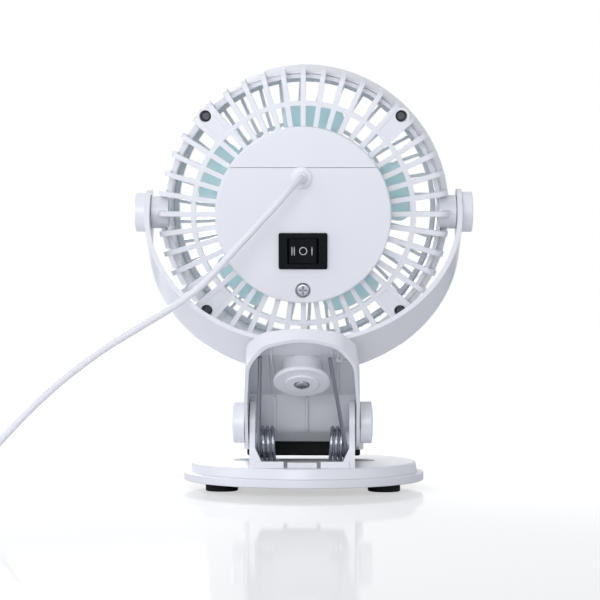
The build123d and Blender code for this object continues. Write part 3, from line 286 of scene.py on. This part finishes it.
# %% [markdown]
# ## The springs
# Each torsion spring is wound from one wire. Its lower leg stays with the foot, its upper leg presses on
# the lever and goes with it, and the turns between them give. Real turns wind up as the clamp opens. A copy
# of the solid spring stands in for it, with its place baked into its mesh.

# %% Spring copies
springs = []
for name in ("spring_left", "spring_right"):
    spring = new_object(name + "_wound", nodes[name].data.copy())
    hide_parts(name)
    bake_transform(spring)
    springs.append(spring)
print("springs", [spring.name for spring in springs])

# %% [markdown]
# ## Wiring shader nodes
# The look of a surface, a lamp or the world is a tree of nodes. Wiring nodes by hand makes long scripts
# that hide the idea, so two small classes carry the work. Value wraps a socket and answers to + - * and >,
# so a mask can be written as arithmetic. Wiring makes any node from its type, its settings and what goes
# into its sockets.

# %% Value: a number that varies over a surface
class Value:
    """A socket on which arithmetic works as on a number: each operation adds a Math node."""

    def __init__(self, wiring, socket):
        self.wiring = wiring
        self.socket = socket

    def maths(self, operation, first, second):
        return self.wiring.add("ShaderNodeMath", {"operation": operation}, {0: first, 1: second})

    def __add__(self, other):
        return self.maths("ADD", self, other)

    def __sub__(self, other):
        return self.maths("SUBTRACT", self, other)

    def __rsub__(self, other):
        return self.maths("SUBTRACT", other, self)

    def __mul__(self, other):
        return self.maths("MULTIPLY", self, other)

    def __gt__(self, other):
        return self.maths("GREATER_THAN", self, other)

    __radd__ = __add__
    __rmul__ = __mul__


operators = [name for name in vars(Value) if callable(getattr(Value, name)) and name != "__init__"]
print("operators", [name for name in operators if name.startswith("__")])

# %% [markdown]
# A node's settings are set before its sockets, because some settings, such as the data type of a Mix node,
# decide which sockets it has. A ramp's stops are a setting too: a place between 0 and 1 and a colour for
# each.

# %% Wiring: nodes from a type, settings and sockets
class Wiring:
    """Makes and links nodes in one node tree."""

    def __init__(self, tree):
        self.tree = tree

    def feed(self, socket, value):
        if isinstance(value, Value):
            self.tree.links.new(value.socket, socket)
        else:
            socket.default_value = value

    def place_stops(self, ramp, stops):
        """Gives a ramp one element for each stop. A new ramp has two."""
        while len(ramp.elements) < len(stops):
            ramp.elements.new(1.0)
        for element, (position, colour) in zip(ramp.elements, stops):
            element.position = position
            element.color = (*colour, 1)

    def add(self, kind, settings, sockets, output=0):
        """A node of that type, its settings first, then the values or links of its sockets."""
        node = self.tree.nodes.new(kind)
        for name, value in settings.items():
            if name == "stops":
                self.place_stops(node.color_ramp, value)
            else:
                setattr(node, name, value)
        for socket, value in sockets.items():
            self.feed(node.inputs[socket], value)
        return Value(self, node.outputs[output])


print("wiring has", [name for name in vars(Wiring) if not name.startswith("_")])

# %% [markdown]
# ## Light, floor and backdrop
# White plastic on a white ground needs soft light from several sides, with one side a little stronger, so
# that its round forms still turn from light to shade. The world gives even light from all round. For rays
# that come straight from the camera, or by way of a gloss or something clear, it shows plain white.

# %% World
scene.view_settings.view_transform = "Standard"
scene.world = bpy.data.worlds.new("studio")
scene.world.use_nodes = True
studio = Wiring(scene.world.node_tree)
even_light = studio.add("ShaderNodeBackground", {}, {"Color": (0.88, 0.91, 1.0, 1), "Strength": 0.43})
plain_white = studio.add("ShaderNodeBackground", {}, {"Color": (1, 1, 1, 1), "Strength": 1.0})
seen = studio.add("ShaderNodeLightPath", {}, {}, "Is Camera Ray")
mirrored = studio.add("ShaderNodeLightPath", {}, {}, "Is Glossy Ray")
through = studio.add("ShaderNodeLightPath", {}, {}, "Is Transmission Ray")
direct = seen + mirrored + through
backdrop = studio.add("ShaderNodeMixShader", {}, {0: direct, 1: even_light, 2: plain_white})
studio.feed(studio.tree.nodes["World Output"].inputs["Surface"], backdrop)
print("world nodes", len(studio.tree.nodes))

# %% [markdown]
# A large square lamp by the camera reaches through the cage. Two more on the left, one high and one low,
# turn the round forms from light to shade, and weak ones on the right and over the top fill the shade. One
# on the air side makes the thin blades glow from behind, and its power stops short of where the white
# middle disc on that side would burn out. A large lamp makes soft shadows, because every place sees a part
# of it.

# %% Lamps
cool_white = (0.932, 0.947, 1.0)
middle = (0, 0, 0.10)
head_middle = (0, 0, 0.12)


def soft_box(name, place, target, size, watts):
    """A square lamp at one place that faces another."""
    lamp = new_object(name, bpy.data.lights.new(name, "AREA"))
    lamp.data.shape = "SQUARE"
    lamp.data.size = size
    lamp.data.energy = watts
    lamp.data.color = cool_white
    lamp.location = place
    lamp.rotation_euler = (Vector(target) - Vector(place)).to_track_quat("-Z", "Y").to_euler()


soft_box("key_left", (-0.60, -0.70, 0.55), middle, 0.55, 1.9)
soft_box("low_left", (-0.85, -0.25, 0.12), middle, 0.50, 1.4)
soft_box("fill_right", (0.75, -0.55, 0.30), middle, 0.60, 0.6)
soft_box("top", (-0.05, -0.05, 0.85), middle, 0.60, 0.9)
soft_box("from_the_camera", (-0.15, -1.20, 0.20), middle, 0.50, 4.6)
soft_box("from_the_air_side", (-0.35, 0.80, 0.45), head_middle, 0.60, 6.4)

# %% [markdown]
# ## Finishes
# A finish is a node tree round one Principled shader, and it holds the textures that most surfaces share.
# Sizes are given in millimetres on the object. The coordinates are the object's own, so a pattern keeps
# its size and stays put when a piece turns. Moulded and cut pieces never have knife edges. A Bevel node
# finds the normal as if each edge were rounded by a small radius, and where that normal leaves the true
# one there is an edge, which use and polish make smoother.

# %% Finish: a material and its textures
class Finish(Wiring):
    """A material with one Principled shader. Its even values stand where no texture is linked."""

    def __init__(self, name, colour, roughness, metallic=0.0):
        self.material = bpy.data.materials.new(name)
        self.material.use_nodes = True
        super().__init__(self.material.node_tree)
        self.shader = self.tree.nodes["Principled BSDF"]
        self.set("Base Color", (*colour, 1))
        self.set("Roughness", roughness)
        self.set("Metallic", metallic)

    def set(self, socket, value):
        self.feed(self.shader.inputs[socket], value)

    def places(self, stretch=(1, 1, 1)):
        """The object's own coordinates, in millimetres, longer along an axis where stretch is larger."""
        where = self.add("ShaderNodeTexCoord", {}, {}, "Object")
        factors = tuple(1000 / s for s in stretch)
        return self.add("ShaderNodeVectorMath", {"operation": "MULTIPLY"}, {0: where, 1: factors})

    def noise(self, size, detail=2.0, stretch=(1, 1, 1)):
        """Soft random patches about size millimetres across, from 0 to 1."""
        sockets = {"Vector": self.places(stretch), "Scale": 1 / size, "Detail": detail}
        return self.add("ShaderNodeTexNoise", {}, sockets)

    def mix(self, factor, one, other):
        """From colour one to colour other as the factor goes from 0 to 1."""
        return self.add("ShaderNodeMix", {"data_type": "RGBA"}, {0: factor, 6: one, 7: other}, 2)

    def rounded(self, radius):
        """The normal with edges rounded by a radius in millimetres, and how much of an edge a place is."""
        normal = self.add("ShaderNodeBevel", {"samples": 4}, {"Radius": radius / 1000})
        true_normal = self.add("ShaderNodeNewGeometry", {}, {}, "True Normal")
        along = self.add("ShaderNodeVectorMath", {"operation": "DOT_PRODUCT"}, {0: normal, 1: true_normal}, 1)
        return normal, 1 - along

    def bump(self, height, depth, normal):
        """Raises the surface by depth millimetres where height is 1."""
        sockets = {"Height": height, "Distance": depth / 1000, "Strength": 1.0, "Normal": normal}
        self.set("Normal", self.add("ShaderNodeBump", {}, sockets))


def shade(colour, factor):
    """The same hue, lighter or darker."""
    return (colour[0] * factor, colour[1] * factor, colour[2] * factor, 1)


print("a finish has", [name for name in vars(Finish) if not name.startswith("_")])

# %% [markdown]
# ## White moulded plastic
# Most of the fan is white plastic from one mould shop, a touch cooler than paper. It could be one flat
# colour, but real mouldings have a fine spark-eroded grain that breaks up the gloss, a very slight
# unevenness of colour, and polished edges. The grain is a bump a few thousandths of a millimetre deep.

# %% White plastic
plastic_grain = 0.35


def white_plastic():
    colour = (0.815, 0.822, 0.84)
    finish = Finish("white_plastic", colour, 0.34)
    normal, edge = finish.rounded(0.35)
    patches = finish.noise(26, 3)
    grain = finish.noise(plastic_grain, 3)
    finish.set("Base Color", finish.mix(patches, shade(colour, 0.975), shade(colour, 1.015)))
    finish.set("Roughness", patches * 0.07 + grain * 0.05 + 0.29 - edge * 0.3)
    finish.bump(grain, 0.006, normal)
    finish.set("Coat Roughness", 0.12)
    finish.set("Coat Weight", 0.12)
    return finish


print("white plastic grain in mm", plastic_grain)

# %% [markdown]
# ## The blades
# The five blades and their cup are one thin moulding in pale cyan. Thin plastic lets some light through,
# so it glows softly where a blade is lit from behind. Light scattered under the surface gives that, and it
# is much cheaper than true glass. The plastic flowed outwards in the mould, which left faint lines.

# %% Blade plastic
blade_patches = 18
flow_lines = 3


def blade_plastic():
    colour = (0.70, 0.95, 0.99)
    finish = Finish("blade_plastic", colour, 0.26)
    normal, edge = finish.rounded(0.3)
    patches = finish.noise(blade_patches, 3)
    flow = finish.noise(flow_lines, 2, (1, 1, 6))
    finish.set("Base Color", finish.mix(patches, shade(colour, 0.94), shade(colour, 1.05)))
    finish.set("Roughness", flow * 0.10 + 0.20 - edge * 0.2)
    finish.bump(flow, 0.01, normal)
    finish.set("Subsurface Weight", 0.85)
    finish.set("Subsurface Radius", (0.6, 0.95, 1.0))
    finish.set("Subsurface Scale", 0.004)
    return finish


print("blade patches and flow lines in mm", blade_patches, flow_lines)

# %% [markdown]
# ## The switch
# The rocker and its frame are black nylon. The mould was blasted, so the black is a dark satin with a fine
# grain, and the high edges have gone a little greyer from fingers.

# %% Switch plastic
switch_grain = 0.22


def switch_plastic():
    colour = (0.004, 0.0045, 0.007)
    finish = Finish("switch_plastic", colour, 0.38)
    finish.set("Specular IOR Level", 0.08)
    normal, edge = finish.rounded(0.3)
    grain = finish.noise(switch_grain, 3)
    smears = finish.noise(4, 4)
    greyed = (0.014, 0.015, 0.019, 1)
    finish.set("Base Color", finish.mix(edge * 1.5 + smears * 0.1, shade(colour, 1), greyed))
    finish.set("Roughness", smears * 0.16 + grain * 0.06 + 0.27)
    finish.bump(grain, 0.012, normal)
    return finish


print("switch grain in mm", switch_grain)

# %% [markdown]
# ## Rubber
# The jaw block and the feet are black rubber, the strip under the jaw is grey. Rubber scatters light
# broadly and holds dust. Dust gathers in patches, evens out the colour and leaves hardly any gloss.

# %% Rubber, black and grey
rubber_pores = 0.18


def soft_rubber(name, colour, dust_colour, dust_share):
    finish = Finish(name, colour, 0.75)
    finish.set("Specular IOR Level", 0.2)
    normal, edge = finish.rounded(0.4)
    pores = finish.noise(rubber_pores, 4)
    clouds = finish.noise(7, 5)
    dust = (clouds > 0.55) * pores * dust_share + edge * 0.4
    finish.set("Base Color", finish.mix(dust, (*colour, 1), (*dust_colour, 1)))
    finish.set("Roughness", dust * 0.2 + pores * 0.1 + 0.62)
    finish.bump(pores, 0.02, normal)
    return finish


def rubber():
    return soft_rubber("rubber", (0.004, 0.004, 0.006), (0.030, 0.030, 0.033), 0.25)


def grip_rubber():
    return soft_rubber("grip_rubber", (0.60, 0.61, 0.65), (0.50, 0.50, 0.52), 0.30)


print("rubber pores in mm", rubber_pores)

# %% [markdown]
# ## Metals
# The spring wire is bright drawn steel: fine scratches from the die run along it. The screws are plated,
# some clear and some black. The motor can is rolled sheet with a faint direction round it. All but the
# black screws share one recipe: metal with streaks that change the roughness, stretched the way the piece
# was worked. The black plating is dull and dark, and bare metal shows where an edge has worn.

# %% Metals
def metal_surface(name, colour, roughness, streak_size, stretch, depth):
    """Bare metal with streaks of one depth in millimetres, and its stains. The colour is still even."""
    finish = Finish(name, colour, roughness, metallic=1.0)
    normal, edge = finish.rounded(0.15)
    streaks = finish.noise(streak_size, 4, stretch)
    stains = finish.noise(5, 4)
    finish.set("Roughness", streaks * roughness * 0.7 + stains * 0.08 + roughness * 0.6 - edge * 0.1)
    finish.bump(streaks, depth, normal)
    return finish, stains


def worked_metal(name, colour, roughness, streak_size, stretch, depth):
    finish, stains = metal_surface(name, colour, roughness, streak_size, stretch, depth)
    finish.set("Base Color", finish.mix(stains, shade(colour, 0.86), shade(colour, 1.06)))
    return finish


def spring_steel():
    return worked_metal("spring_steel", (0.34, 0.36, 0.40), 0.14, 0.12, (8, 1, 1), 0.004)


def screw_steel():
    """Plated steel with painted shade in its cross recess, so that the recess is darker than the head round it."""
    finish, _ = metal_surface("screw_steel", (0.52, 0.53, 0.55), 0.28, 0.20, (1, 1, 1), 0.006)
    openness = finish.add("ShaderNodeAmbientOcclusion", {"samples": 4}, {"Distance": 0.0010}, "AO")
    flecks = finish.noise(1.2, 4)
    steel = finish.mix(flecks, (0.42, 0.43, 0.45, 1), (0.56, 0.57, 0.59, 1))
    # Painted shade: where ambient occlusion finds the cross recess closed in, the colour goes to dark grey.
    recess_painted_shade = (0.10, 0.10, 0.11, 1)
    finish.set("Base Color", finish.mix((1 - openness) * 1.5, steel, recess_painted_shade))
    return finish


def motor_steel():
    return worked_metal("motor_steel", (0.56, 0.57, 0.58), 0.34, 0.25, (1, 8, 1), 0.006)


def plug_steel():
    return worked_metal("plug_steel", (0.68, 0.68, 0.70), 0.22, 0.15, (1, 10, 1), 0.004)


def brass():
    return worked_metal("brass", (0.78, 0.58, 0.26), 0.26, 0.20, (1, 6, 1), 0.005)


def black_screw():
    finish = Finish("black_screw", (0.10, 0.10, 0.105), 0.34)
    normal, edge = finish.rounded(0.15)
    worn = finish.noise(0.6, 4)
    plating = (0.075, 0.078, 0.085, 1)
    bare_metal = (0.45, 0.45, 0.46, 1)
    finish.set("Base Color", finish.mix(edge * worn * 3.0, plating, bare_metal))
    finish.set("Metallic", edge * worn + 0.35)
    finish.set("Roughness", worn * 0.2 + 0.24)
    finish.bump(worn, 0.006, normal)
    return finish


metals = [spring_steel, screw_steel, black_screw, motor_steel, plug_steel, brass]
print("metals", [recipe.__name__ for recipe in metals])

# %% [markdown]
# ## Lead and plug
# The lead's jacket is soft white vinyl, without the grain of the hard plastic and less glossy. It is drawn
# through a round die, so it has no edges to round and no relief, and only its colour and gloss are a
# little uneven. The plug is moulded in vinyl too, over its steel shell, and its tongue is white nylon.
# Both came out of a mould, so they have rounded edges and a soft ripple.

# %% Lead and plug
vinyl_ripple = 1.4


def soft_vinyl(name, colour, roughness):
    """Grime that changes the colour, and a ripple in the gloss."""
    finish = Finish(name, colour, roughness)
    ripple = finish.noise(vinyl_ripple, 2)
    grime = finish.noise(9, 4)
    finish.set("Base Color", finish.mix(grime, shade(colour, 0.96), shade(colour, 1.01)))
    finish.set("Roughness", ripple * 0.08 + grime * 0.08 + roughness - 0.08)
    return finish


def lead():
    return soft_vinyl("lead", (0.815, 0.822, 0.83), 0.46)


def plug_plastic():
    finish = soft_vinyl("plug_plastic", (0.76, 0.78, 0.81), 0.42)
    normal, _ = finish.rounded(0.2)
    finish.bump(finish.noise(vinyl_ripple, 2), 0.01, normal)
    return finish


def plug_tongue():
    finish = soft_vinyl("plug_tongue", (0.70, 0.71, 0.72), 0.40)
    normal, _ = finish.rounded(0.1)
    finish.bump(finish.noise(vinyl_ripple, 2), 0.005, normal)
    return finish


print("vinyl ripple in mm", vinyl_ripple)

# %% [markdown]
# ## Board and inner leads
# Inside the hub, a small green board with its parts and three thin wires feed the motor. They are seen
# only through the slots, but an assembly that is opened shows them. The three wires are one node with one
# material, so a ramp over the place gives each wire its own colour.

# %% Board and inner leads
wires_width = 8


def board():
    colour = (0.018, 0.10, 0.045)
    finish = Finish("board", colour, 0.34)
    normal, edge = finish.rounded(0.1)
    weave = finish.noise(0.4, 2, (3, 1, 1))
    bare_laminate = (0.10, 0.22, 0.10, 1)
    finish.set("Base Color", finish.mix(weave + edge, shade(colour, 0.8), bare_laminate))
    finish.bump(weave, 0.01, normal)
    return finish


def components():
    finish = Finish("components", (0.03, 0.03, 0.032), 0.5)
    normal, _ = finish.rounded(0.15)
    grain = finish.noise(0.15, 3)
    finish.set("Base Color", finish.mix(grain, (0.022, 0.022, 0.024, 1), (0.05, 0.05, 0.052, 1)))
    finish.set("Roughness", grain * 0.2 + 0.42)
    finish.bump(grain, 0.01, normal)
    return finish


def inner_wire():
    """Red, black and white insulation: which wire it is shows in how far right it lies."""
    finish = Finish("inner_wire", (0.4, 0.02, 0.02), 0.4)
    normal, _ = finish.rounded(0.1)
    right = finish.add("ShaderNodeSeparateXYZ", {}, {0: finish.places()})
    spread = right * (1 / wires_width) + 0.5
    red = (0.5, 0.02, 0.02)
    black = (0.02, 0.02, 0.02)
    white = (0.6, 0.6, 0.6)
    stops = [(0.0, red), (0.52, black), (0.68, white)]
    tint = finish.add("ShaderNodeValToRGB", {"stops": stops}, {0: spread})
    finish.set("Base Color", tint)
    finish.bump(finish.noise(0.5, 2), 0.01, normal)
    return finish


print("the wires' colours change over", wires_width, "mm")

# %% [markdown]
# ## Dressing the nodes
# The packed record says which finish each node takes. Each finish is made once and shared.

# %% Dress the nodes
plastics = [white_plastic, blade_plastic, switch_plastic, rubber, grip_rubber]
vinyls = [lead, plug_plastic, plug_tongue]
inner_finishes = [board, components, inner_wire]
recipes = plastics + metals + vinyls + inner_finishes
finishes = {recipe.__name__: recipe().material for recipe in recipes}


def dress(piece, slot):
    """Gives a piece the finish of that slot alone."""
    piece.data.materials.clear()
    piece.data.materials.append(finishes[slot])


for part in frame["record"]["subparts"]:
    dress(nodes[part["node"]], part["material_slot"])
for spring in springs:
    dress(spring, "spring_steel")
dress(free_run, "lead")
dress(coil, "lead")
dress(plug_sleeve, "plug_plastic")

# %% [markdown]
# ## The marks on the rocker
# Two bars, a ring and one bar tell the speeds apart. On the real key they are pad-printed in light grey
# ink, which lies on the plastic as a film. Here each mark is a thin raised ribbon that follows the hollow
# face of the key: the face is measured by a ray sent down onto the key, so the ink always lies on it. The
# ink's foot is sunk a hair into the face, so that no light comes in between.

# %% Rocker marks: the face of the key
key_surface = BVHTree.FromObject(nodes["rocker_button"], bpy.context.evaluated_depsgraph_get())
key_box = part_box("rocker_button")
key_middle = (key_box[0] + key_box[1]) / 2
mark_rise = 0.25
marks_up = (key_middle - tilt_pivot).dot(head_up) * 1000 + mark_rise
clear_of_key = 30.0
ink_height = 0.00004
ink_sunk = 0.00001


def on_key(right, up):
    """The ink's foot and its top, that many millimetres right of and above the middle of the marks."""
    face, _, _, _ = key_surface.ray_cast(on_head(right, marks_up + up, clear_of_key), blow)
    return face + blow * ink_sunk, face - blow * ink_height


print("the marks stand", round(marks_up, 1), "mm above the tilt pivot, along the head")

# %% [markdown]
# The ribbon has an outer and an inner loop. Its top and its foot both follow the key, so four strips of
# faces close it. The ring is such a ribbon, and so is a bar, whose inner loop is only a slit.

# %% Rocker marks: the ink
def ink_mark(name, outer, inner):
    """A raised ribbon between an outer and an inner loop of places, each closed."""
    count = len(outer)
    ends = [on_key(right, up) for right, up in outer + inner]
    verts = [top for _, top in ends] + [foot for foot, _ in ends]
    faces = []
    for i in range(count):
        j = (i + 1) % count
        faces.append((i, j, count + j, count + i))
        faces.append((i, 2 * count + i, 2 * count + j, j))
        faces.append((count + i, count + j, 3 * count + j, 3 * count + i))
        faces.append((2 * count + i, 3 * count + i, 3 * count + j, 2 * count + j))
    mesh = bpy.data.meshes.new(name)
    mesh.from_pydata(verts, [], faces)
    mesh.validate()
    piece = new_object(name, mesh)
    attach(piece, "rocker")
    return piece


def oval(right, reach_right, reach_up, count=48):
    """Places round an oval, in millimetres from the middle of the marks."""
    turns = [2 * math.pi * i / count for i in range(count)]
    return [(right + reach_right * math.cos(turn), reach_up * math.sin(turn)) for turn in turns]


bar_half_width = 0.20
bar_half_height = 1.95
slit_half_width = 0.1 * bar_half_width
slit_half_height = 0.9 * bar_half_height
bar_places = {"mark_high_a": -4.65, "mark_high_b": -3.65, "mark_low": 3.80}
ring_right = 0.1
ring_outside = 1.68
ring_inside = 1.38

marks = []
for name, right in bar_places.items():
    outer = oval(right, bar_half_width, bar_half_height)
    marks.append(ink_mark(name, outer, oval(right, slit_half_width, slit_half_height)))
ring_outer = oval(ring_right, ring_outside, ring_outside)
marks.append(ink_mark("mark_off", ring_outer, oval(ring_right, ring_inside, ring_inside)))


def ink():
    finish = Finish("ink", (0.62, 0.63, 0.65), 0.5)
    flecks = finish.noise(0.25, 3)
    finish.set("Base Color", finish.mix(flecks, (0.50, 0.51, 0.53, 1), (0.70, 0.71, 0.73, 1)))
    finish.set("Roughness", flecks * 0.2 + 0.4)
    return finish


ink_finish = ink().material
for mark in marks:
    mark.data.materials.append(ink_finish)
print("marks", [mark.name for mark in marks])

# %% [markdown]
# ## The floor
# The fan stands on a glossy white sheet that goes on far behind it. The sheet has to be white in the
# picture without more light on the object, so for rays from the camera it glows a little by itself. It
# still takes the soft shadow under the base, and its gloss shows a faint mirror image of the foot. For all
# other rays it is matt white paper, which sends light back up at the object.

# %% Floor
def floor_sheet(half_width, near, far):
    """A flat sheet from near to far, in metres."""
    mesh = bpy.data.meshes.new("floor")
    corners = [(-half_width, near, 0), (half_width, near, 0), (half_width, far, 0), (-half_width, far, 0)]
    mesh.from_pydata(corners, [], [(0, 1, 2, 3)])
    sheet = new_object("floor", mesh)
    return sheet


def floor_finish():
    finish = Finish("floor", (0.34, 0.34, 0.345), 0.06)
    wear = finish.noise(40, 3)
    finish.set("Roughness", wear * 0.02 + 0.05)
    finish.set("IOR", 1.05)
    glow = finish.add("ShaderNodeEmission", {}, {"Color": (1, 1, 1, 1), "Strength": 0.52})
    gloss = Value(finish, finish.shader.outputs[0])
    shown = finish.add("ShaderNodeAddShader", {}, {0: gloss, 1: glow})
    paper = finish.add("ShaderNodeBsdfDiffuse", {}, {"Color": (0.74, 0.74, 0.75, 1)})
    seen = finish.add("ShaderNodeLightPath", {}, {}, "Is Camera Ray")
    both = finish.add("ShaderNodeMixShader", {}, {0: seen, 1: paper, 2: shown})
    finish.feed(finish.tree.nodes["Material Output"].inputs["Surface"], both)
    return finish


floor = floor_sheet(half_width=6.0, near=-3.0, far=9.0)
floor.data.materials.append(floor_finish().material)
print("floor", [round(side, 1) for side in floor.dimensions])

# %% [markdown]
# ## Last update
# The dressed fan has to stay as large as the solid one. At the end, the view layer is brought up to date.

# %% Update
bpy.context.view_layer.update()
